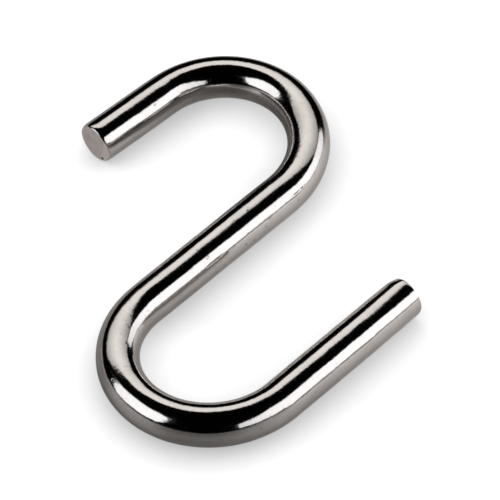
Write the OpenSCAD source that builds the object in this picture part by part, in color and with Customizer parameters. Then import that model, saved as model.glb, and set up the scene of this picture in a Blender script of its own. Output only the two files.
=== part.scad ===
// Open S hook bent from one length of round steel wire.
// It lies flat on Z = 0, with the shank along Y and the middle of its outline over the origin.
// Seen from above both bends turn anticlockwise away from the shank, so it reads as a reversed S.

/* [Wire] */
// Diameter of the round wire
wire_d = 5; // [3:0.1:8]
// How strongly the wire draws down in a bend, as a share of its radius at a bend as tight as the wire
draw_down = 0.05; // [0.02:0.01:0.15]
// Radius of the rolled-over edge at each sheared end
edge_r = 0.35; // [0.1:0.05:0.8]

/* [Shank] */
// Straight length between the two bends
shank_len = 21.8; // [12:0.1:40]

/* [Upper bend] */
// Centreline radius of the shoulder, the wider arc next to the shank
shoulder_r = 12; // [11.2:0.1:18]
// Turn of the shoulder in degrees
shoulder_turn = 80; // [60:1:90]
// Centreline radius of the crown, the tighter arc next to the short leg
crown_r = 9.8; // [6:0.1:11]
// Turn of the crown in degrees, which leaves the short leg slightly open
crown_turn = 97; // [90:1:110]

/* [Lower bend] */
// Centreline radius of the lower bend
lower_r = 10.6; // [6:0.1:16]
// Turn of the lower bend in degrees
lower_turn = 180; // [160:1:180]

/* [Legs] */
// Straight length of the short leg after the upper bend
short_leg_len = 10.8; // [4:0.1:20]
// Straight length of the long leg after the lower bend
long_leg_len = 20; // [4:0.1:30]
// Slant of the cut across the short leg's end in degrees
short_cut_slant = 0; // [0:1:12]
// Slant of the cut across the long leg's end in degrees
long_cut_slant = 8; // [0:1:12]

/* [Hidden] */
$fn = 64;
wire_r = wire_d / 2;
// Each length of wire runs on this far inside the next, past the line where they meet
lap = 0.1;
// The rolled edge starts this far inside its radius, so it leaves the wire at a fine crease
edge_crease = 0.2 * edge_r;
edge_centre_r = wire_r - edge_r + edge_crease;
// Behind the rolled edge the shear's bite opens out by this angle, clear of the wire
bite_flare = 14;
bite_depth = 1.5 * wire_d;

// Centres of the arcs and ends of the legs, measured from the middle of the shank
shoulder_centre = [-shoulder_r, shank_len / 2];
crown_centre = shoulder_centre + (shoulder_r - crown_r) * outward(shoulder_turn);
upper_turn = shoulder_turn + crown_turn;
short_leg_end = crown_centre + crown_r * outward(upper_turn) + short_leg_len * heading(upper_turn);
lower_centre = [lower_r, -shank_len / 2];
long_leg_end = lower_centre - lower_r * outward(lower_turn) - long_leg_len * heading(lower_turn);

// Outline of the whole hook, used to put its middle over the origin
outline_left = short_leg_end.x - wire_r * abs(cos(upper_turn));
outline_right = long_leg_end.x + wire_r * abs(cos(lower_turn));
outline_back = crown_centre.y + crown_r + drawn_r(crown_r);
outline_front = lower_centre.y - lower_r - drawn_r(lower_r);
middle = [(outline_left + outline_right) / 2, (outline_back + outline_front) / 2];

// Direction of travel after a left turn from +Y, and the direction out from the bend's centre
function heading(turn) = [-sin(turn), cos(turn)];
function outward(turn) = [cos(turn), sin(turn)];

// Radius of the wire where it goes round a bend: the tighter the bend, the more it draws down
function drawn_r(bend_r) = wire_r * (1 - draw_down * wire_r / bend_r);

// Each length of wire starts at the origin and runs towards +Y; its children go on from its end

module straight(length) {
    translate([0, -lap, 0])
        rotate([-90, 0, 0])
            cylinder(h = length + 2 * lap, r = wire_r);
    translate([0, length, 0])
        children();
}

module bend(bend_r, turn) {
    lap_turn = lap / bend_r * 180 / PI;
    translate([-bend_r, 0, 0]) {
        rotate([0, 0, -lap_turn])
            rotate_extrude(angle = turn + 2 * lap_turn)
                translate([bend_r, 0])
                    circle(r = drawn_r(bend_r));
        rotate([0, 0, turn])
            translate([bend_r, 0, 0])
                children();
    }
}

// Space that the shear leaves: a flat face at the origin with a rolled edge, open behind
module shear_bite() {
    edge_x = edge_centre_r + edge_r * cos(bite_flare);
    edge_y = edge_r * sin(bite_flare) - edge_r;
    rotate([-90, 0, 0])
        rotate_extrude() {
            translate([edge_centre_r, -edge_r])
                circle(r = edge_r);
            polygon([
                [0, 0],
                [edge_centre_r, 0],
                [edge_x, edge_y],
                [edge_x + bite_depth * tan(bite_flare), edge_y - bite_depth],
                [0, edge_y - bite_depth],
            ]);
        }
}

// Leg with its sheared end; a slant leaves the side that faces the shank longer
module leg(length, slant) {
    end_len = wire_r;
    straight(length - end_len)
        intersection() {
            straight(2 * end_len);
            translate([0, end_len, 0])
                rotate([0, 0, -slant])
                    shear_bite();
        }
}

module hook() {
    color("silver")
        translate([-middle.x, -middle.y, wire_r]) {
            translate([0, -shank_len / 2, 0])
                straight(shank_len)
                    bend(shoulder_r, shoulder_turn)
                        bend(crown_r, crown_turn)
                            leg(short_leg_len, short_cut_slant);
            translate([0, -shank_len / 2, 0])
                rotate([0, 0, 180])
                    bend(lower_r, lower_turn)
                        leg(long_leg_len, long_cut_slant);
        }
}

hook();
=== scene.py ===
# %% [markdown]
# # An S hook bent from plated steel wire
#
# The real hook is one length of round steel wire. A shear cuts it off, a tool bends it twice, and it is
# then plated bright. So there is one piece to make: a 5 mm wire that follows a route of straights and bends.
#
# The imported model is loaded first. It is the frame that every other thing here is placed in, in metres.

# %% Load the frame
import math

import bmesh
import bpy
from mathutils import Matrix, Vector


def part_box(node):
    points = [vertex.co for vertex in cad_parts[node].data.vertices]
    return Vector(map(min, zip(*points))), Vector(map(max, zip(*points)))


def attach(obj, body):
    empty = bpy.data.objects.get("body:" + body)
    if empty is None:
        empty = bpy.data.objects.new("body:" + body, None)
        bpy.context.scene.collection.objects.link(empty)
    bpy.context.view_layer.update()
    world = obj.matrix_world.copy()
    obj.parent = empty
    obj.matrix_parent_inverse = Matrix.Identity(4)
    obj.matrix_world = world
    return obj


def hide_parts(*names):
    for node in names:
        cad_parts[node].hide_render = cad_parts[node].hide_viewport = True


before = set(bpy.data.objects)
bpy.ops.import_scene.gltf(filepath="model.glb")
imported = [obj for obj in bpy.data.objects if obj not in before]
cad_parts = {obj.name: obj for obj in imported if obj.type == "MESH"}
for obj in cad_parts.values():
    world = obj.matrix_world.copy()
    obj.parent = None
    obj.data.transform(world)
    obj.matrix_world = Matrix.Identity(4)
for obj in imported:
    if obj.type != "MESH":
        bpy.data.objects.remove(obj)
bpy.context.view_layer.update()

hook_low, hook_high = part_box("hook")
print("the hook's box in mm:", [round(1000 * side, 2) for side in hook_high - hook_low])

# %% [markdown]
# ## Sums with nodes
#
# A geometry tree and a shader tree are both made of nodes, and a formula in nodes soon grows hard to read.
# It could be wired up by hand, one Math node after another. Here a small class wraps one output socket
# and overloads the operators instead, so that a formula reads as it would on paper, and each operator
# adds its own Math node. Every other kind of node comes from the one method called node.


# %% A socket that can be added and multiplied
class Signal:
    """One output of a node, which can stand in a sum. Without a socket it only starts new nodes."""

    def __init__(self, tree, socket=None):
        self.tree = tree
        self.socket = socket

    def node(self, kind, settings=None, inputs=None, output=0):
        """Adds a node: its settings first, then the values or links of its sockets. Returns one output."""
        made = self.tree.nodes.new(kind)
        for name, value in (settings or {}).items():
            setattr(made, name, value)
        for name, value in (inputs or {}).items():
            socket = made.inputs[name]
            if isinstance(value, Signal):
                self.tree.links.new(value.socket, socket)
            else:
                socket.default_value = value
        return Signal(self.tree, made.outputs[output])

    def math(self, operation, *others):
        """This value and up to two more through a Math node."""
        values = dict(enumerate((self, *others)))
        return self.node("ShaderNodeMath", {"operation": operation}, values)

    def __add__(self, other):
        return self.math("ADD", other)

    def __sub__(self, other):
        return self.math("SUBTRACT", other)

    def __mul__(self, other):
        return self.math("MULTIPLY", other)

    def __truediv__(self, other):
        return self.math("DIVIDE", other)

    def __rsub__(self, other):
        return self.constant(other).math("SUBTRACT", self)

    def __rtruediv__(self, other):
        return self.constant(other).math("DIVIDE", self)

    def __neg__(self):
        return self * -1.0

    __radd__ = __add__
    __rmul__ = __mul__

    def constant(self, number):
        """The number as a signal, for the sums in which it comes first."""
        return self.node("ShaderNodeMath", {"operation": "ADD"}, {0: number, 1: 0.0})

    def clamp(self, low, high):
        """Held between two limits."""
        return self.math("MAXIMUM", low).math("MINIMUM", high)

    def step(self, start, end):
        """Rises smoothly from 0 at start to 1 at end."""
        sockets = {"Value": self, "From Min": start, "From Max": end}
        return self.node("ShaderNodeMapRange", {"interpolation_type": "SMOOTHSTEP"}, sockets)

    def vector_math(self, operation, other, output="Vector"):
        """This vector and another through a Vector Math node. A distance comes from its Value output."""
        return self.node("ShaderNodeVectorMath", {"operation": operation}, {0: self, 1: other}, output)

    def noise(self, scale, detail):
        """Noise that is read at this place."""
        return self.node("ShaderNodeTexNoise", None, {"Vector": self, "Scale": scale, "Detail": detail})


# %% [markdown]
# ## The wire's sizes
#
# These are the sizes that the bending tool and the shear are set to. The route starts at the sheared end
# of the short leg and runs up the leg, over the crown and the shoulder, down the shank, round the lower
# bend and up the long leg. A turn to the left is positive.

# %% Sizes of the wire, in metres and radians
MM = 0.001
PER_MM = 1000.0
wire_radius = 2.5 * MM
draw_down = 0.05
edge_radius = 0.3 * MM
edge_depth = 0.24 * MM

short_leg_length = 10.8 * MM
crown_radius = 9.8 * MM
crown_turn = math.radians(-97)
shoulder_radius = 12.0 * MM
shoulder_turn = math.radians(-80)
shank_length = 21.8 * MM
lower_radius = 10.6 * MM
lower_turn = math.radians(180)
long_leg_length = 20.0 * MM
long_cut_slant = math.radians(3)
long_cut_reach = 0.35 * MM

# The long leg runs straight along +Y, so the turns before it settle how the short leg sets off.
start_heading = -(crown_turn + shoulder_turn + lower_turn)
print("the short leg's heading in degrees:", round(math.degrees(start_heading), 1))


# %% Steps along the route
def bent_step(heading, radius, turn):
    """The step from the start of a bend to its end, for a bend that begins at this heading."""
    signed = math.copysign(radius, turn)
    end = heading + turn
    return Vector((
        signed * (math.cos(end) - math.cos(heading)),
        signed * (math.sin(end) - math.sin(heading)),
    ))


def straight_step(heading, length):
    """The step along a straight at this heading. A heading of 0 is along +Y."""
    return Vector((-math.sin(heading), math.cos(heading))) * length


shoulder_heading = start_heading + crown_turn
shank_heading = shoulder_heading + shoulder_turn
whole_step = (
    straight_step(start_heading, short_leg_length)
    + bent_step(start_heading, crown_radius, crown_turn)
    + bent_step(shoulder_heading, shoulder_radius, shoulder_turn)
    + straight_step(shank_heading, shank_length)
    + bent_step(shank_heading, lower_radius, lower_turn)
    + straight_step(0.0, long_leg_length)
)
print("from the first end to the last, in mm:", [round(v / MM, 3) for v in whole_step])

# %% Where the route starts
# The long leg's outer side and the lower bend's outermost point touch the frame's box, and from them the
# whole route is measured back to its start.
drawn_lower = wire_radius * (1 - draw_down * wire_radius / lower_radius)
route_end = Vector((
    hook_high.x - wire_radius,
    hook_low.y + drawn_lower + lower_radius + long_leg_length,
))
route_start = route_end - whole_step
print("the route starts at, in mm:", [round(v / MM, 3) for v in route_start])

# %% [markdown]
# ## A wire made by a rule
#
# The hook could be modelled by hand, or a circle could be swept along a drawn curve. Its shape follows a
# plain rule, though, so Geometry Nodes work it out: a straight tube is made first, and each of its points
# asks how far along the wire it is, where the route has got to by then, and which way it heads.
# The same rule gives a flat sheared face with a rolled edge at both ends, because the rings there draw
# in towards the middle instead of moving along.

# %% Fineness of the mesh
sides = 112
face_rings = 14
edge_rings = 8
body_rings = 520
all_rings = 2 * face_rings + 2 * edge_rings + body_rings
print("rings along the wire:", all_rings, " sides round it:", sides)

# %% The tree and its named inputs
tree = bpy.data.node_groups.new("bent_wire", "GeometryNodeTree")
tree.interface.new_socket("Geometry", in_out="OUTPUT", socket_type="NodeSocketGeometry")

wire_inputs = {
    "Wire radius": wire_radius,
    "Draw-down": draw_down,
    "Edge radius": edge_radius,
    "Edge depth": edge_depth,
    "End draw-in": 0.10 * MM,
    "Draw-in length": 1.0 * MM,
    "Blade press": 0.21 * MM,
    "Press length": 7.0 * MM,
    "Corner roll": 0.30 * MM,
    "Roll length": 1.3 * MM,
    "Start X": route_start.x,
    "Start Y": route_start.y,
    "Start heading": start_heading,
    "Short leg length": short_leg_length,
    "Crown radius": crown_radius,
    "Crown turn": crown_turn,
    "Shoulder radius": shoulder_radius,
    "Shoulder turn": shoulder_turn,
    "Shank length": shank_length,
    "Lower radius": lower_radius,
    "Lower turn": lower_turn,
    "Long leg length": long_leg_length,
    "Long cut slant": long_cut_slant,
    "Long cut reach": long_cut_reach,
    "Bending dents": 0.02 * MM,
    "Shear roughness": 0.03 * MM,
    "Break line": 0.5,
    "Break slant": math.radians(9),
}
for name in wire_inputs:
    tree.interface.new_socket(name, in_out="INPUT", socket_type="NodeSocketFloat")
entry = tree.nodes.new("NodeGroupInput")
sizes = {name: Signal(tree, entry.outputs[name]) for name in wire_inputs}
wire_r = sizes["Wire radius"]
wire_nodes = Signal(tree)
print("named inputs:", len(sizes))

# %% [markdown]
# ### The straight tube
#
# A Mesh Cylinder as long as it has rings gives every point two plain numbers: its ring, which is its
# height, and the angle that it lies at round the wire. Those two numbers are all that the rule needs.

# %% Ring and angle of each point
cylinder_inputs = {"Vertices": sides, "Side Segments": all_rings, "Radius": 1.0, "Depth": float(all_rings)}
tube = wire_nodes.node("GeometryNodeMeshCylinder", {"fill_type": "NONE"}, cylinder_inputs)
tube_place = wire_nodes.node("GeometryNodeInputPosition")
upward, across, tube_height = (
    tube_place.node("ShaderNodeSeparateXYZ", None, {0: tube_place}, output=axis) for axis in range(3)
)
ring = tube_height + all_rings / 2
print("points of the tube:", sides * (all_rings + 1))

# %% How far along the wire each ring lies, and how wide it is
straights = sizes["Short leg length"] + sizes["Shank length"] + sizes["Long leg length"]
bends = (
    sizes["Crown radius"] * sizes["Crown turn"].math("ABSOLUTE")
    + sizes["Shoulder radius"] * sizes["Shoulder turn"].math("ABSOLUTE")
    + sizes["Lower radius"] * sizes["Lower turn"].math("ABSOLUTE")
)
wire_length = straights + bends
rings_left = all_rings - ring
edge = sizes["Edge radius"]
quarter_turn = math.pi / 2

first_edge = ((ring - face_rings) / edge_rings).clamp(0.0, 1.0) * quarter_turn
last_edge = ((rings_left - face_rings) / edge_rings).clamp(0.0, 1.0) * quarter_turn
body_share = ((ring - face_rings - edge_rings) / body_rings).clamp(0.0, 1.0)
along = (
    edge * (1 - first_edge.math("COSINE"))
    + body_share * (wire_length - 2 * edge)
    + edge * last_edge.math("COSINE")
)
on_face = (ring / face_rings).math("MINIMUM", rings_left / face_rings).clamp(0.0, 1.0)
rolled = first_edge.math("SINE") * last_edge.math("SINE")
print("nodes in the tube's own rule:", len(tree.nodes))

# %% [markdown]
# ### The route
#
# Each straight and each bend adds its share to three running values: the place, the heading and the
# distance that is used up. A clamp holds a stretch's share at nothing before it starts and at its whole
# once it is passed, so the shares simply add up. Where the wire is bent it also draws down a little,
# because its outer side has stretched. That eases in over a stretch shorter than the wire is thick.

# %% A walker that goes along straights and round bends
draw_down_ease = 0.8


class Walker:
    """The running place and heading of a route, as sums of the shares of its stretches."""

    def __init__(self, x, y, heading):
        self.x = x
        self.y = y
        self.heading = heading
        self.turned = heading
        self.passed = along * 0.0
        self.narrowing = along * 0.0

    def straight(self, length):
        """The next stretch runs on without a turn."""
        share = (along - self.passed).clamp(0.0, length)
        self.x = self.x - share * self.turned.math("SINE")
        self.y = self.y + share * self.turned.math("COSINE")
        self.passed = self.passed + length

    def bend(self, radius, turn):
        """A positive turn goes left. The signed radius is the turn's sign times the radius."""
        signed = radius * turn.math("SIGN")
        length = signed * turn
        share = (along - self.passed).clamp(0.0, length) / signed
        now = self.turned + share
        self.x = self.x + signed * (now.math("COSINE") - self.turned.math("COSINE"))
        self.y = self.y + signed * (now.math("SINE") - self.turned.math("SINE"))
        self.heading = self.heading + share
        ease = wire_r * draw_down_ease
        begun = (along - self.passed).step(-ease, ease)
        left = (self.passed + length - along).step(-ease, ease)
        self.narrowing = self.narrowing + begun * left * sizes["Draw-down"] * wire_r / radius
        self.passed = self.passed + length
        self.turned = self.turned + turn


# %% Walk the hook's route
walker = Walker(sizes["Start X"], sizes["Start Y"], sizes["Start heading"])
walker.straight(sizes["Short leg length"])
walker.bend(sizes["Crown radius"], sizes["Crown turn"])
walker.bend(sizes["Shoulder radius"], sizes["Shoulder turn"])
walker.straight(sizes["Shank length"])
walker.bend(sizes["Lower radius"], sizes["Lower turn"])
walker.straight(sizes["Long leg length"])
print("nodes in the route so far:", len(tree.nodes))

# %% [markdown]
# ### The skin
#
# The wire is not a perfect tube. The bending tool leaves shallow flats where it gripped. The shear draws
# the skin in at the short leg's end, and at the long leg's end it presses a flat and rounds a corner. A
# bump in the finish could stand for these, but they are real shape, so they go into the mesh. They only
# ever cut inwards: the wire's own size is its largest. The noise is read on the straight wire, before it is
# bent, so that the marks run with the wire.


# %% Dents, the drawn-in end, the pressed flat and the rounded corner
def facing_side(degrees):
    """1 along the line at this angle round the wire, and -1 along the opposite one. 90 degrees is up."""
    angle = math.radians(degrees)
    return across * math.cos(angle) + upward * math.sin(angle)


dents_in_a_radius = 0.7
dent_detail = 1.5
pressed_angle = 30
rolled_angle = 150
pressed_side = facing_side(pressed_angle).step(0.1, 0.98)
rolled_side = facing_side(rolled_angle).step(0.55, 1.0)
tube_inputs = {"X": along / wire_r, "Y": across, "Z": upward}
straight_place = wire_nodes.node("ShaderNodeCombineXYZ", None, tube_inputs)
dents = straight_place.noise(dents_in_a_radius, dent_detail).step(0.3, 0.75)
to_end = wire_length - along
draw_in = (1 - along / sizes["Draw-in length"]).clamp(0.0, 1.0)
press = (1 - to_end / sizes["Press length"]).clamp(0.0, 1.0)
corner = (1 - to_end / sizes["Roll length"]).clamp(0.0, 1.0)
slimmer = (
    dents * sizes["Bending dents"]
    + draw_in * draw_in * sizes["End draw-in"]
    + press * pressed_side * sizes["Blade press"]
    + corner * corner * rolled_side * sizes["Corner roll"]
)
drawn_r = wire_r * (1 - walker.narrowing)
depth = sizes["Edge depth"]
body_radius = (drawn_r - depth) * on_face + depth * rolled - slimmer * on_face * rolled
outward = across * body_radius
lift = upward * body_radius
print("nodes with the skin:", len(tree.nodes))

# %% [markdown]
# A shear bites about halfway through, and then the rest breaks off. So the short leg's face has two levels
# with a line between them, and both faces are torn. The long leg's cut is a little out of square, which
# fades out over a short stretch of the leg.

# %% The slanted cut, the broken face and its torn grain
face_zone = 0.2 * MM
slant_zone = 3.0 * MM
break_across = 0.95
break_up = -0.3
at_start = along.step(face_zone, 0.0)
at_end = to_end.step(face_zone, 0.0)
set_back = (wire_r + outward) * sizes["Long cut slant"].math("TANGENT")
reach = (sizes["Long cut reach"] - set_back) * to_end.step(slant_zone, 0.0)
past_line = (across * break_across + upward * break_up) * on_face - sizes["Break line"]
break_away = past_line.math("MAXIMUM", 0.0) * wire_r * sizes["Break slant"].math("TANGENT")
face_place = wire_nodes.node("ShaderNodeCombineXYZ", None, {"X": outward, "Y": lift})
torn = face_place.noise(0.9 * PER_MM, 4.0) * sizes["Shear roughness"] * (1 - rolled.step(0.0, 0.4))
shift = (torn + break_away) * at_start + reach - torn * at_end
print("nodes with the cut ends:", len(tree.nodes))

# %% Put each point of the tube in its place on the bent wire
heading_sine = walker.heading.math("SINE")
heading_cosine = walker.heading.math("COSINE")
place = wire_nodes.node("ShaderNodeCombineXYZ", None, {
    "X": walker.x + heading_cosine * outward - heading_sine * shift,
    "Y": walker.y + heading_sine * outward + heading_cosine * shift,
    "Z": wire_r + lift,
})
print("nodes with the bent place:", len(tree.nodes))

# %% [markdown]
# ### Two marks for the finishes
#
# The materials need to know two things that the bent shape no longer tells: where a point was on the
# straight wire, so that draw marks can run along it, and how deep into a sheared face it lies. Both are
# stored on the mesh as named attributes.

# %% Store the marks, bend the tube and close its poles
weld_distance = 0.002 * MM
drawn_place = wire_nodes.node("ShaderNodeCombineXYZ", None, {"X": along, "Y": outward, "Z": lift})
sheared = 1 - rolled.math("ARCSINE") / quarter_turn
marked = tube
for mark, data_type, value in (("drawn_place", "FLOAT_VECTOR", drawn_place), ("sheared", "FLOAT", sheared)):
    mark_settings = {"data_type": data_type, "domain": "POINT"}
    mark_inputs = {"Geometry": marked, "Name": mark, "Value": value}
    marked = wire_nodes.node("GeometryNodeStoreNamedAttribute", mark_settings, mark_inputs)
bent = wire_nodes.node("GeometryNodeSetPosition", None, {"Geometry": marked, "Position": place})
closed = wire_nodes.node("GeometryNodeMergeByDistance", None, {"Geometry": bent, "Distance": weld_distance})
smooth = wire_nodes.node("GeometryNodeSetShadeSmooth", None, {"Geometry": closed})
print("nodes in the finished rule:", len(tree.nodes))

# %% [markdown]
# ## Finishes
#
# Bright plating is a mirror of a slightly warm grey, and what it shows is the room. It is never a perfect
# mirror: the wire was drawn through a die and tumbled before it was plated, so fine lines run along it,
# the surface rolls a little, and handling has left small specks and scratches. Each of these is a
# layer of noise, at its own scale, that goes to roughness, to colour or to a bump. It could be painted on
# an image too, but noise needs no unwrapping, stays sharp up close and follows the wire round its bends.


# %% Helpers that start a material, link its sockets and mix its colours
def new_material(name):
    """A material, its shader and a signal that starts its nodes."""
    material = bpy.data.materials.new(name)
    material.use_nodes = True
    return material, material.node_tree.nodes["Principled BSDF"], Signal(material.node_tree)


def feed(shader, links):
    """Links signals to the shader's sockets by name."""
    for name, signal in links.items():
        signal.tree.links.new(signal.socket, shader.inputs[name])


def mix_colours(factor, first, second):
    """From the first colour to the second as the factor goes from 0 to 1."""
    # A Mix node keeps sockets for each kind of value: inputs 6 and 7 and output 2 are for colours.
    return factor.node("ShaderNodeMix", {"data_type": "RGBA"}, {0: factor, 6: first, 7: second}, output=2)


# %% The plating's layers of noise, read on the straight wire
# A scale of 1 * PER_MM gives a mark about every millimetre.
plating, plating_shader, plating_nodes = new_material("bright_plating")
wire_place = plating_nodes.node("ShaderNodeAttribute", {"attribute_name": "drawn_place"}, output="Vector")
stretch = {"Vector": wire_place, "Scale": (25.0, 900.0, 900.0)}
drawn_lines = plating_nodes.node("ShaderNodeMapping", None, stretch).noise(4.0, 6.0)
patches = wire_place.noise(0.26 * PER_MM, 4.0)
roll = wire_place.noise(0.42 * PER_MM, 2.0)
specks = wire_place.noise(1.5 * PER_MM, 2.0)
grain = wire_place.noise(2.6 * PER_MM, 5.0)
scuff_noise = wire_place.noise(5.2 * PER_MM, 3.0)
print("layers of noise on the plating:", sum(node.type == "TEX_NOISE" for node in plating.node_tree.nodes))

# %% [markdown]
# A few scuffs sit at places of their own, where the hook has rubbed on others in its box. Each is a long
# thin spot on the wire, and fine noise makes its outline ragged and its middle patchy.

# %% Scuffs: how far along the wire, angle round it in degrees, half length and half width in mm
scuffs = (
    (43.1, 145, 1.1, 0.11), (51.45, 149, 0.14, 0.12), (56.9, 149, 1.3, 0.12), (49.7, 99, 0.15, 0.10),
    (51.9, 99, 0.15, 0.10), (78.9, 52, 0.22, 0.18), (118.75, 35, 0.22, 0.15), (74.2, 118, 0.3, 0.12),
)
scuff_raggedness = 1.2
ragged = (scuff_noise - 0.5) * scuff_raggedness
scuffed = ragged * 0.0
for from_end, angle, half_length, half_width in scuffs:
    spot_y = wire_radius * math.cos(math.radians(angle))
    spot_z = wire_radius * math.sin(math.radians(angle))
    half_size = (half_length * MM, half_width * MM, half_width * MM)
    offset = wire_place.vector_math("SUBTRACT", (from_end * MM, spot_y, spot_z))
    shrunk = offset.vector_math("DIVIDE", half_size)
    spot_reach = shrunk.vector_math("DISTANCE", (0.0, 0.0, 0.0), output="Value")
    scuffed = scuffed.math("MAXIMUM", (spot_reach + ragged).step(1.3, 0.7))
print("scuffs:", len(scuffs))

# %% The plating's colour
plate_light = (0.66, 0.628, 0.606, 1.0)
plate_dark = (0.58, 0.548, 0.526, 1.0)
plate_scuffed = (0.10, 0.09, 0.085, 1.0)
cloudy = patches.step(0.3, 0.7) * 0.6 + grain.step(0.35, 0.75) * 0.4
speck = specks.step(0.675, 0.715) * patches.step(0.45, 0.55)
speck_darkness = 0.45
dulled = (scuffed * scuff_noise.step(0.4, 0.55)).math("MAXIMUM", speck * speck_darkness)
plate_colour = mix_colours(dulled, mix_colours(cloudy, plate_light, plate_dark), plate_scuffed)
print("share of light that clean plating returns:", plate_dark[:3], "to", plate_light[:3])

# %% The plating's gloss and relief
polished_roughness = 0.07
line_roughness = 0.05
grain_roughness = 0.05
patch_roughness = 0.02
line_height = 0.35
grain_height = 1.3
roll_height = 0.6
speck_height = 0.35
scuff_depth = 2.5
roughness = (
    polished_roughness
    + drawn_lines.step(0.45, 0.8) * line_roughness
    + grain.step(0.5, 0.8) * grain_roughness
    + patches * patch_roughness
)
relief = (
    drawn_lines * line_height
    + grain * grain_height
    + roll * roll_height
    + speck * speck_height
    - scuffed * scuff_noise * scuff_depth
)
relief_inputs = {"Height": relief, "Strength": 0.3, "Distance": 0.02 * MM}
relief_bump = plating_nodes.node("ShaderNodeBump", None, relief_inputs)
plating_shader.inputs["Metallic"].default_value = 1.0
feed(plating_shader, {"Base Color": plate_colour, "Roughness": roughness, "Normal": relief_bump})
print("nodes in the plating:", len(plating.node_tree.nodes))

# %% [markdown]
# The shear tears the steel, so its faces are dull: a matte grey with brownish mottling where plating took
# badly, and ragged lines across. The part that broke off is a little brighter, and one spot on the rim
# was nicked. The lines lie straight across the face and not round the wire, so this finish reads the
# object's own coordinates.

# %% The sheared faces' layers of noise
shear, shear_shader, shear_nodes = new_material("sheared_steel")
across_streaks = (0.77, 0.0, 0.64)
along_streaks = (0.64, 0.0, -0.77)
face_at = shear_nodes.node("ShaderNodeTexCoord", output="Object")
mottle = face_at.noise(0.9 * PER_MM, 6.0)
pits = face_at.noise(4.2 * PER_MM, 4.0)
streak_x = face_at.vector_math("DOT_PRODUCT", across_streaks, output="Value") * (5.2 * PER_MM)
streak_y = face_at.vector_math("DOT_PRODUCT", along_streaks, output="Value") * (0.5 * PER_MM)
streaks = shear_nodes.node("ShaderNodeCombineXYZ", None, {"X": streak_x, "Y": streak_y}).noise(1.0, 4.0)
print("nodes in the faces' noise:", len(shear.node_tree.nodes))

# %% The sheared faces' colour, past the break line and in the nick
face_light = (0.90, 0.82, 0.775, 1.0)
face_dark = (0.74, 0.665, 0.62, 1.0)
face_rust = (0.50, 0.38, 0.30, 1.0)
face_broken = (0.96, 0.885, 0.84, 1.0)
face_nicked = (0.16, 0.12, 0.10, 1.0)
face_middle = (route_start.x, route_start.y, wire_radius)
nick_place = (1.05 * MM, 0.0, -1.85 * MM)
ragged_line_width = 0.8 * MM

from_middle = face_at.vector_math("SUBTRACT", face_middle)
past_break = from_middle.vector_math("DOT_PRODUCT", (break_across, 0.0, break_up), output="Value")
to_nick = from_middle.vector_math("DISTANCE", nick_place, output="Value")
ragged_line = (mottle - 0.5) * ragged_line_width
streaky = mottle.step(0.35, 0.7) * 0.5 + streaks.step(0.35, 0.7) * 0.5
rusty = mottle.step(0.6, 0.8) * pits.step(0.5, 0.7) * 0.6
broken = (past_break + ragged_line).step(1.15 * MM, 1.30 * MM)
nicked = (to_nick + ragged_line).step(0.32 * MM, 0.18 * MM) * pits.step(0.42, 0.5)
face_colour = mix_colours(streaky, face_light, face_dark)
for factor, colour in ((rusty, face_rust), (broken, face_broken), (nicked, face_nicked)):
    face_colour = mix_colours(factor, face_colour, colour)
print("the face's middle in mm:", [round(v / MM, 2) for v in face_middle])

# %% The sheared faces' gloss and relief
face_smoothest = 0.4
pit_roughness = 0.25
pit_height = 0.5
streak_height = 0.8
face_roughness = face_smoothest + pits * pit_roughness
face_relief = mottle + pits * pit_height + streaks * streak_height
face_relief_inputs = {"Height": face_relief, "Strength": 0.5, "Distance": 0.04 * MM}
face_bump = shear_nodes.node("ShaderNodeBump", None, face_relief_inputs)
shear_shader.inputs["Metallic"].default_value = 0.8
feed(shear_shader, {"Base Color": face_colour, "Roughness": face_roughness, "Normal": face_bump})
print("nodes in the sheared steel:", len(shear.node_tree.nodes))

# %% [markdown]
# ## From rule to mesh
#
# The tree ends by giving each face its material. Then it is put on an object as a modifier, its inputs
# are set by their identifiers, and the evaluated result is kept as a plain mesh.

# %% Give the faces their materials and end the tree
deep_in_face = 0.93
sheared_inputs = {"Name": "sheared"}
sheared_mark = wire_nodes.node("GeometryNodeInputNamedAttribute", {"data_type": "FLOAT"}, sheared_inputs)
is_face = sheared_mark.math("GREATER_THAN", deep_in_face)
plated = wire_nodes.node("GeometryNodeSetMaterial", None, {"Geometry": smooth, "Material": plating})
cut_faces = {"Geometry": plated, "Selection": is_face, "Material": shear}
finished = wire_nodes.node("GeometryNodeSetMaterial", None, cut_faces)
real = wire_nodes.node("GeometryNodeRealizeInstances", None, {"Geometry": finished})
leave = tree.nodes.new("NodeGroupOutput")
tree.links.new(real.socket, leave.inputs["Geometry"])
print("nodes in the whole tree:", len(tree.nodes))


# %% Run the rule and keep its mesh
def add_object(name, data):
    """An object in the scene for a mesh, a lamp or a camera."""
    made = bpy.data.objects.new(name, data)
    bpy.context.scene.collection.objects.link(made)
    return made


maker = add_object("wire_maker", bpy.data.meshes.new("wire_maker"))
modifier = maker.modifiers.new("bent_wire", "NODES")
modifier.node_group = tree
for item in tree.interface.items_tree:
    if item.in_out == "INPUT":
        modifier[item.identifier] = wire_inputs[item.name]
depsgraph = bpy.context.evaluated_depsgraph_get()
wire_mesh = bpy.data.meshes.new_from_object(
    maker.evaluated_get(depsgraph), preserve_all_data_layers=True, depsgraph=depsgraph
)
maker.modifiers.remove(modifier)
bpy.data.objects.remove(maker)
wire_mesh.name = "hook_wire"
while wire_mesh.materials[0] is None:
    wire_mesh.materials.pop(index=0)
print("triangles:", sum(len(face.vertices) - 2 for face in wire_mesh.polygons))

# %% The hook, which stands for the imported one
hook = add_object("hook_wire", wire_mesh)
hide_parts("hook")
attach(hook, "root")

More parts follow.
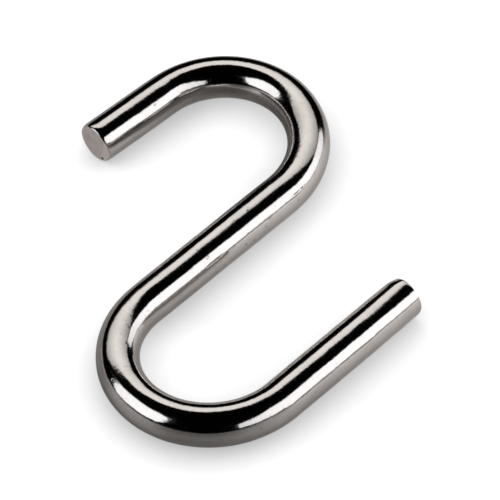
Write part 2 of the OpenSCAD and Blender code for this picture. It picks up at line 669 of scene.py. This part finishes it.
low = [min(v.co[axis] for v in wire_mesh.vertices) for axis in range(3)]
high = [max(v.co[axis] for v in wire_mesh.vertices) for axis in range(3)]
faces_of = [sum(face.material_index == slot for face in wire_mesh.polygons) for slot in range(2)]
print("faces of each finish:", dict(zip(wire_mesh.materials.keys(), faces_of)))
print("lowest in mm:", [round(v / MM, 3) for v in low], " highest:", [round(v / MM, 3) for v in high])
print("frame in mm: ", [round(v / MM, 3) for v in hook_low], [round(v / MM, 3) for v in hook_high])

# %% [markdown]
# ## The floor
#
# The hook lies on a plain sheet of white paper. The sheet is flat and large enough that its edge stays out
# of sight, so a coarse grid is all the shape that it needs.


# %% Floor
def keep_mesh(name, form):
    """The form as a mesh. The form itself is let go."""
    mesh = bpy.data.meshes.new(name)
    form.to_mesh(mesh)
    form.free()
    return mesh


floor_half = 0.9
floor_form = bmesh.new()
bmesh.ops.create_grid(floor_form, x_segments=4, y_segments=4, size=floor_half)
floor_mesh = keep_mesh("floor", floor_form)
floor = add_object("floor", floor_mesh)
print("the floor's side in metres:", 2 * floor_half)

# %% [markdown]
# The metal and the camera want different things of the paper. The metal should show a satin grey with
# painted shade laid on it by position, and the camera should see white with a painted soft shadow under the
# hook. One paper can't be both, so it is made twice over, and the kind of ray picks which one it meets.
#
# The metal meets satin paper, which is lit by the softboxes and has a sheen of them at a low angle.

# %% Paper as the metal sees it
matte_colour = (0.61, 0.592, 0.576, 1.0)
sheen_colour = (1.0, 0.975, 0.95, 1.0)
sheen_roughness = 0.42
least_sheen = 0.16
slant_sheen = 0.65
black = (0.0, 0.0, 0.0, 1.0)
white = (1.0, 1.0, 1.0, 1.0)
paper, plain_shader, paper_nodes = new_material("floor_paper")
paper.node_tree.nodes.remove(plain_shader)
matte_paper = paper_nodes.node("ShaderNodeBsdfDiffuse", None, {"Color": matte_colour})
sheen_inputs = {"Color": sheen_colour, "Roughness": sheen_roughness}
paper_sheen = paper_nodes.node("ShaderNodeBsdfAnisotropic", None, sheen_inputs)
sheen_share = paper_nodes.node("ShaderNodeFresnel", None, {"IOR": 1.5}) * slant_sheen + least_sheen
satin_paper = paper_nodes.node("ShaderNodeMixShader", None, {0: sheen_share, 1: matte_paper, 2: paper_sheen})
print("nodes in the satin paper:", len(paper.node_tree.nodes))


# %% Directions, and distances on the paper
def direction(bearing, height=0.0):
    """The unit vector towards a bearing and a height, both in degrees. A bearing of 0 is along +X."""
    turn = math.radians(bearing)
    rise = math.radians(height)
    return Vector((math.cos(turn) * math.cos(rise), math.sin(turn) * math.cos(rise), math.sin(rise)))


paper_place = paper_nodes.node("ShaderNodeTexCoord", output="Object")


def towards(bearing):
    """How far a point of the paper lies towards a bearing."""
    return paper_place.vector_math("DOT_PRODUCT", direction(bearing), output="Value")


def away_from(middle):
    """How far a point of the paper lies from a place."""
    return paper_place.vector_math("DISTANCE", middle, output="Value")


# %% [markdown]
# The metal's paper also carries painted shade, set by position and not cast by any lamp: it is mixed to
# black beyond its back corner, and made dimmer on the camera's side and inside the crown.

# %% Where painted shade darkens the metal's paper
dark_bearing = 119
dim_bearing = 292
dimness = 0.38
crown_middle = (-7.5 * MM, 14.0 * MM, 0.0)
crown_dimness = 0.73
away = away_from((0.0, 0.0, 0.0))
# Painted shade: these masks mix the metal's paper towards black by position, not by any lamp's shadow.
in_dark = (towards(dark_bearing) / away).step(0.73, 0.93) * away.step(32.0 * MM, 60.0 * MM)
in_dim = towards(dim_bearing).step(-10.0 * MM, 40.0 * MM) * dimness
in_crown = away_from(crown_middle).step(11.5 * MM, 6.0 * MM) * crown_dimness
painted_paper_shade = in_dark.math("MAXIMUM", in_dim).math("MAXIMUM", in_crown)
no_light = paper_nodes.node("ShaderNodeBsdfDiffuse", None, {"Color": black})
shaded_inputs = {0: painted_paper_shade, 1: satin_paper, 2: no_light}
shaded_paper = paper_nodes.node("ShaderNodeMixShader", None, shaded_inputs)
print("nodes in the shaded paper:", len(paper.node_tree.nodes))

# %% [markdown]
# On the side away from the camera, painted light lies on the metal's paper as a pool of glow. Close beside
# the wire the paper also glows a little, as painted light standing for what the metal throws back. Ambient
# Occlusion finds how close the wire is.

# %% Painted light on the metal's paper
pool_bearing = 60
pool_strength = 0.08
beside_reach = {"Distance": 12.0 * MM}
beside_strength = 0.11
warm_white = (1.0, 0.96, 0.93, 1.0)
# Painted light: glow added to the metal's paper as a pool, and as a rim beside the wire.
in_pool = towards(pool_bearing).step(-8.0 * MM, 22.0 * MM) * away.step(90.0 * MM, 35.0 * MM)
beside_metal = 1 - paper_nodes.node("ShaderNodeAmbientOcclusion", {"samples": 4}, beside_reach, output="AO")
painted_light_strength = in_pool * pool_strength + beside_metal * (1 - painted_paper_shade) * beside_strength
lit_colour = mix_colours(painted_light_strength, black, warm_white)
painted_light_glow = paper_nodes.node("ShaderNodeEmission", None, {"Color": lit_colour})
metals_paper = paper_nodes.node("ShaderNodeAddShader", None, {0: shaded_paper, 1: painted_light_glow})
print("nodes in the metal's paper:", len(paper.node_tree.nodes))

# %% [markdown]
# The camera meets white paper with a painted soft shadow, shaped like the one an even sky would give: its
# glow drops with how far the hook closes off the space above it. Ambient Occlusion measures that too. Its
# normal leans a little towards the light, so the painted shadow is heavier on the other side. Inside each
# polished bend, a soft spot of painted light stands for the light that the bend throws onto the paper.

# %% Paper as the camera sees it
paper_in_shadow = 0.44
paper_in_the_open = 1.06
shadow_reach = 25.0 * MM
light_bearing = 198
light_height = 83
towards_light = dict(zip("XYZ", direction(light_bearing, light_height)))
leaning_up = paper_nodes.node("ShaderNodeCombineXYZ", None, towards_light)
sky_inputs = {"Distance": shadow_reach, "Normal": leaning_up}
open_sky = paper_nodes.node("ShaderNodeAmbientOcclusion", {"samples": 16}, sky_inputs, output="AO")
# Painted shadow: the paper's white glow is darkened where ambient occlusion finds the hook close.
paper_glow_with_painted_shadow = open_sky * open_sky * (paper_in_the_open - paper_in_shadow) + paper_in_shadow
print("the camera's paper, from shadow to the open:", paper_in_shadow, "to", paper_in_the_open)

# %% Painted light inside the bends: middle, where it is full, where it ends, and how strong it is
painted_bend_light = (
    ((-11.0 * MM, 18.0 * MM, 0.0), 3.0 * MM, 10.0 * MM, 0.11),
    ((7.5 * MM, -15.0 * MM, 0.0), 2.5 * MM, 8.5 * MM, 0.10),
)
for middle, full_reach, far_reach, strength in painted_bend_light:
    paper_glow_with_painted_shadow = paper_glow_with_painted_shadow + away_from(middle).step(far_reach, full_reach) * strength
print("spots of thrown light:", len(painted_bend_light))

# %% The two papers together
brightest = 1.3
camera_paper_inputs = {
    "Base Color": (0.30, 0.30, 0.30, 1.0),
    "Roughness": 1.0,
    "Specular IOR Level": 0.0,
    "Emission Color": mix_colours(paper_glow_with_painted_shadow / brightest, black, white),
    "Emission Strength": brightest,
}
cameras_paper = paper_nodes.node("ShaderNodeBsdfPrincipled", None, camera_paper_inputs)
camera_sees = paper_nodes.node("ShaderNodeLightPath", output="Is Camera Ray")
both = paper_nodes.node("ShaderNodeMixShader", None, {0: camera_sees, 1: metals_paper, 2: cameras_paper})
paper.node_tree.links.new(both.socket, paper.node_tree.nodes["Material Output"].inputs["Surface"])
floor_mesh.materials.append(paper)
print("nodes in the paper:", len(paper.node_tree.nodes))

# %% [markdown]
# ## The light
#
# Polished metal shows its surroundings, so the lamps are as much a part of its look as the finish. Three
# softboxes make its bright bands, and the dark room between them makes its black ones. A rectangle lamp
# could stand for each, but a real softbox seen at a slant has four uneven corners and a soft edge. So each
# one is a small flat sheet that glows: its outline is given by the bearing and height at which the hook
# sees each corner, and its glow fades out at the edges and away from its hot spot.

# %% Softboxes: corners as (bearing, height), brightness, hot spot, spread and edge width, all in degrees
softboxes = {
    "right_softbox": {
        "corners": (
            (-27, 16), (14, 14), (17, 8.5), (42, 4.5), (60, 2.5), (82, 3), (88, 8), (90, 25), (72, 30),
            (60, 33.2), (48, 37.9), (36, 45.8), (18, 50.5), (0, 47), (-12, 41), (-27, 34),
        ),
        "tint": (1.0, 1.02, 1.05), "brightness": 1.66, "hot_spot": (36, 24), "spread": 78, "edge": 1.5,
    },
    "front_softbox": {
        "corners": (
            (213, 24), (218, 16), (223, 11.5), (250, 15.5), (263, 17.5), (268, 25), (267, 43), (262, 52),
            (246, 55), (228, 54.5), (211, 48), (206, 41),
        ),
        "tint": (1.0, 1.03, 1.06), "brightness": 1.54, "hot_spot": (248, 35), "spread": 105, "edge": 1.5,
    },
    "back_softbox": {
        "corners": (
            (78, 30), (96, 26), (108, 25), (120, 25.5), (138, 32), (150, 36), (156, 32.5), (166, 28.5),
            (180, 25.5), (188, 27), (188, 40), (180, 46.5), (172, 50.5), (156, 54.5), (138, 61.5),
            (120, 61), (96, 57), (84, 51), (78, 43),
        ),
        "tint": (1.0, 0.985, 0.965), "brightness": 1.16, "hot_spot": (140, 48), "spread": 43, "edge": 2.5,
    },
}
print("softboxes:", ", ".join(softboxes))


# %% How deep a spot lies inside an outline, and how gently a glow starts
def depth_inside(point, corners):
    """How far a flat point lies inside an outline, or less than 0 where it is outside."""
    inside = False
    nearest = math.inf
    for start, end in zip(corners, corners[1:] + corners[:1]):
        side_line = end - start
        share = max(0.0, min(1.0, (point - start).dot(side_line) / side_line.length_squared))
        nearest = min(nearest, (point - start - share * side_line).length)
        if (start.y > point.y) != (end.y > point.y):
            crossing = start.x + (point.y - start.y) / side_line.y * side_line.x
            inside = inside != (point.x < crossing)
    return nearest if inside else -nearest


def eased(share):
    """A share that is held between 0 and 1 and leaves each of them gently."""
    share = max(0.0, min(1.0, share))
    return share * share * (3 - 2 * share)


# %% A sheet that glows
def glowing_sheet(name, form, tint, brightness):
    """The form as a sheet that gives light where its glow is stored. The camera doesn't see it."""
    material, shader, glow_nodes = new_material(name)
    glow = glow_nodes.node("ShaderNodeAttribute", {"attribute_name": "glow"}, output="Fac")
    shader.inputs["Base Color"].default_value = black
    shader.inputs["Specular IOR Level"].default_value = 0.0
    shader.inputs["Emission Strength"].default_value = brightness
    feed(shader, {"Emission Color": mix_colours(glow, black, (*tint, 1.0))})
    mesh = keep_mesh(name, form)
    mesh.materials.append(material)
    sheet = add_object(name, mesh)
    sheet.visible_camera = False
    sheet.visible_shadow = False
    print(name, "cells:", len(mesh.polygons))
    return sheet


# %% Build the softboxes
softbox_distance = 0.6
softbox_cell_size = 0.015


def add_softbox(name, corners, tint, brightness, hot_spot, spread, edge):
    """A flat sheet, square to the line from the hook to its middle, that glows inside its outline."""
    rays = [direction(*corner) for corner in corners]
    hottest = direction(*hot_spot)
    facing = sum(rays, Vector()).normalized()
    level = Vector((0, 0, 1)).cross(facing).normalized()
    rise = facing.cross(level)
    spots = [ray * softbox_distance / ray.dot(facing) for ray in rays]
    outline = [Vector((spot.dot(level), spot.dot(rise))) for spot in spots]
    fade = math.radians(edge) * softbox_distance
    low_x, high_x = min(p.x for p in outline) - fade, max(p.x for p in outline) + fade
    low_y, high_y = min(p.y for p in outline) - fade, max(p.y for p in outline) + fade
    columns = math.ceil((high_x - low_x) / softbox_cell_size)
    rows = math.ceil((high_y - low_y) / softbox_cell_size)

    form = bmesh.new()
    glow_layer = form.verts.layers.float.new("glow")
    grid = []
    for row in range(rows + 1):
        for column in range(columns + 1):
            flat = Vector((low_x + column * softbox_cell_size, low_y + row * softbox_cell_size))
            corner = form.verts.new(facing * softbox_distance + level * flat.x + rise * flat.y)
            from_hot = math.degrees(corner.co.angle(hottest)) / spread
            inside = eased(depth_inside(flat, outline) / fade + 0.5)
            corner[glow_layer] = inside * math.exp(-from_hot * from_hot)
            grid.append(corner)
    for row in range(rows):
        for column in range(columns):
            first = row * (columns + 1) + column
            around = (grid[first], grid[first + 1], grid[first + columns + 2], grid[first + columns + 1])
            if any(corner[glow_layer] > 0 for corner in around):
                form.faces.new(around)
    bmesh.ops.delete(form, geom=[v for v in form.verts if not v.link_faces], context="VERTS")
    glowing_sheet(name, form, tint, brightness)


for name, settings in softboxes.items():
    add_softbox(name, **settings)

# %% [markdown]
# One more lamp lights the paper from the right. A fourth softbox could do it, but the hook would then show
# one more bright band. An area lamp can be kept out of the metal, so only the paper gets its light.

# %% Side lamp for the paper
side_distance = 0.7
side_brightness = 3.35
side_place = direction(75, 32) * side_distance
side_lamp = bpy.data.lights.new("side_lamp", "AREA")
side_lamp.shape = "RECTANGLE"
side_lamp.size = 0.6
side_lamp.size_y = 0.3
side_lamp.energy = side_brightness * math.pi * side_lamp.size * side_lamp.size_y
side = add_object("side_lamp", side_lamp)
facing_hook = side_place.to_track_quat("Z", "Y").to_matrix().to_4x4()
side.matrix_world = Matrix.Translation(side_place) @ facing_hook
side.visible_camera = False
side.visible_glossy = False
print("side lamp in watts:", round(side_lamp.energy, 3))

# %% [markdown]
# The paper curves up a little at its far edges, so the metal sees it a few degrees above the horizon. A low
# glowing ring stands for that, as a painted reflection of lit paper: it lights nothing and shows only in
# reflections. Its glow at each bearing, and how high it reaches, are interpolated between stops.

# %% The paper's raised edge: bearing in degrees, glow, height in degrees
raised_edge = (
    (0, 0.40, 11.0), (12, 0.45, 9.0), (24, 0.46, 4.5), (45, 0.5, 3.5), (78, 0.5, 4.0), (88, 0.0, 1.0),
    (156, 0.0, 1.0), (166, 0.33, 3.0), (185, 0.35, 5.0), (205, 0.36, 6.0), (218, 0.42, 8.5),
    (240, 0.42, 8.5), (258, 0.36, 8.0), (270, 0.22, 6.5), (284, 0.14, 6.0), (315, 0.14, 6.0),
    (335, 0.18, 9.0), (350, 0.26, 10.0), (360, 0.40, 11.0),
)
ring_distance = 1.3
ring_tint = (1.0, 0.97, 0.94)
edge_softness = 4.0
bearing_step = 5
lowest_row = -1
highest_row = 16


def between_stops(bearing):
    """The glow and the height of the raised edge at a bearing."""
    for (start, *first), (end, *last) in zip(raised_edge, raised_edge[1:]):
        if start <= bearing <= end:
            share = (bearing - start) / (end - start)
            return [a + (b - a) * share for a, b in zip(first, last)]


print("glow and height at a bearing of 180:", [round(v, 3) for v in between_stops(180)])

# %% Build the raised edge
ring_form = bmesh.new()
ring_glow = ring_form.verts.layers.float.new("glow")
columns = []
for bearing in range(0, 361, bearing_step):
    glow, top = between_stops(bearing)
    column = []
    for height in range(lowest_row, highest_row + 1):
        corner = ring_form.verts.new(direction(bearing, height) * ring_distance)
        corner[ring_glow] = glow * eased((top - height) / edge_softness + 0.5)
        column.append(corner)
    columns.append(column)
for left, right in zip(columns, columns[1:]):
    for low_left, high_left, low_right, high_right in zip(left, left[1:], right, right[1:]):
        ring_form.faces.new((low_left, low_right, high_right, high_left))
# Painted reflection: the ring glows as lit paper would, lights nothing, and shows only in reflections.
ring_sheet = glowing_sheet("raised_edge", ring_form, ring_tint, 1.0)
ring_sheet.visible_diffuse = False

# %% [markdown]
# The room itself is dark to the metal, because a bright one would wash out the black bands between the
# softboxes. The camera sees it white beyond the floor's edge.

# %% Room
room = bpy.data.worlds.new("room")
bpy.context.scene.world = room
room.use_nodes = True
room_background = room.node_tree.nodes["Background"]
room_background.inputs["Color"].default_value = white
room_seen = Signal(room.node_tree).node("ShaderNodeLightPath", output="Is Camera Ray")
feed(room_background, {"Strength": room_seen})
print("nodes in the room:", len(room.node_tree.nodes))

# %% [markdown]
# ## The camera
#
# The camera looks down on the hook from the front right, turned a few degrees about its own axis. Its long
# lens keeps the near and the far wire almost equally wide. A constraint could aim it, but here its three
# directions are worked out, so that the roll is a plain angle.

# %% Camera
aim = Vector((1.860, 3.544, 0.0)) * MM
camera_distance = 497.9 * MM
camera_bearing = -42.381
camera_height = 47.768
camera_roll = math.radians(4.892)
focal_length = 315.1

back = direction(camera_bearing, camera_height)
level_right = (-back).cross(Vector((0, 0, 1))).normalized()
level_up = level_right.cross(-back)
right = math.cos(camera_roll) * level_right - math.sin(camera_roll) * level_up
up = math.sin(camera_roll) * level_right + math.cos(camera_roll) * level_up

camera_data = bpy.data.cameras.new("camera")
camera_data.lens = focal_length
camera_data.sensor_width = 36.0
camera_data.clip_start = 0.01
camera = add_object("camera", camera_data)
camera_turn = Matrix((right, up, back)).transposed().to_4x4()
camera.matrix_world = Matrix.Translation(aim + back * camera_distance) @ camera_turn
bpy.context.scene.camera = camera
bpy.context.scene.view_settings.view_transform = "Standard"
print("camera at, in mm:", [round(v / MM, 1) for v in camera.location])
